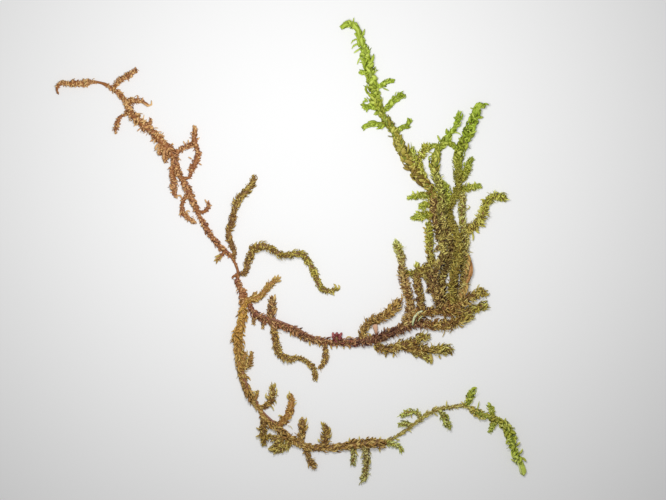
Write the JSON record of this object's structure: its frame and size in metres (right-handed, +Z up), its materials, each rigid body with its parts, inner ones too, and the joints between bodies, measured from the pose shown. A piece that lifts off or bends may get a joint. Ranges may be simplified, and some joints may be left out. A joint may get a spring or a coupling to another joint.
{
  "type": "scorpidium moss",
  "caption": "Long branching shoot of brown fen moss, laid flat: a half-bare rusty end, a leafy lower shoot with a lime tip, and a crowded tuft of green leaders.",
  "frame": {"origin": "centre of the plant's box, on the surface that it lies on", "axes": "+Z up from the surface, +Y towards the tip of the long green leader, +X towards the lime tip"},
  "size_m": [0.1054, 0.1034, 0.0039],
  "materials": {
    "rust_leaves": "dull, shrivelled",
    "ochre_leaves": "damp, soft sheen",
    "red_brown_leaves": "damp, soft sheen",
    "crimson_bud": "damp, soft sheen",
    "olive_leaves": "damp, soft sheen",
    "dark_olive_leaves": "damp, soft sheen",
    "fresh_green_leaves": "damp, soft sheen",
    "lime_leaves": "damp, soft sheen"
  },
  "bodies": {
    "root": {"old_shoot_end": "rust_leaves", "old_shoot_base": "rust_leaves", "old_branch_left": "rust_leaves", "old_branch_inner": "rust_leaves", "old_branch_right": "rust_leaves", "upright_branch": "olive_leaves", "arched_branch": "olive_leaves", "fork_branch": "ochre_leaves", "lower_shoot_upper": "ochre_leaves", "lower_twig_inner": "olive_leaves", "lower_twig_outer": "olive_leaves", "lower_shoot_middle": "ochre_leaves", "orange_twig": "rust_leaves", "lower_clump": "olive_leaves", "broad_twig": "olive_leaves", "hanging_twig": "olive_leaves", "lower_shoot_bare": "ochre_leaves", "lower_shoot_tip": "lime_leaves", "middle_stem": "red_brown_leaves", "red_bud": "crimson_bud", "middle_branch_long": "olive_leaves", "middle_branch_short": "olive_leaves", "tuft_stem": "red_brown_leaves", "tuft_branch_low_right": "olive_leaves", "tuft_branch_right": "olive_leaves", "tuft_branch_upper_right": "olive_leaves", "tuft_lower_branch": "olive_leaves", "tuft_lowest_branch": "olive_leaves", "tuft_arch": "ochre_leaves", "tuft_left_leader": "ochre_leaves", "tuft_left_column": "olive_leaves", "tuft_column_green": "dark_olive_leaves", "green_leader": "fresh_green_leaves", "tuft_column_olive": "dark_olive_leaves", "loop_leader": "fresh_green_leaves", "right_leader": "fresh_green_leaves", "tuft_right_column": "ochre_leaves", "right_branch": "olive_leaves", "tuft_inner_shoot": "dark_olive_leaves", "tuft_green_twig": "fresh_green_leaves", "leader_twig": "lime_leaves", "left_loop_branch": "olive_leaves", "right_twig_upper": "fresh_green_leaves", "right_twig_lower": "fresh_green_leaves", "left_twig_upper": "fresh_green_leaves", "left_twig_middle": "fresh_green_leaves", "left_twig_lower": "fresh_green_leaves"}
  },
  "joints": []
}
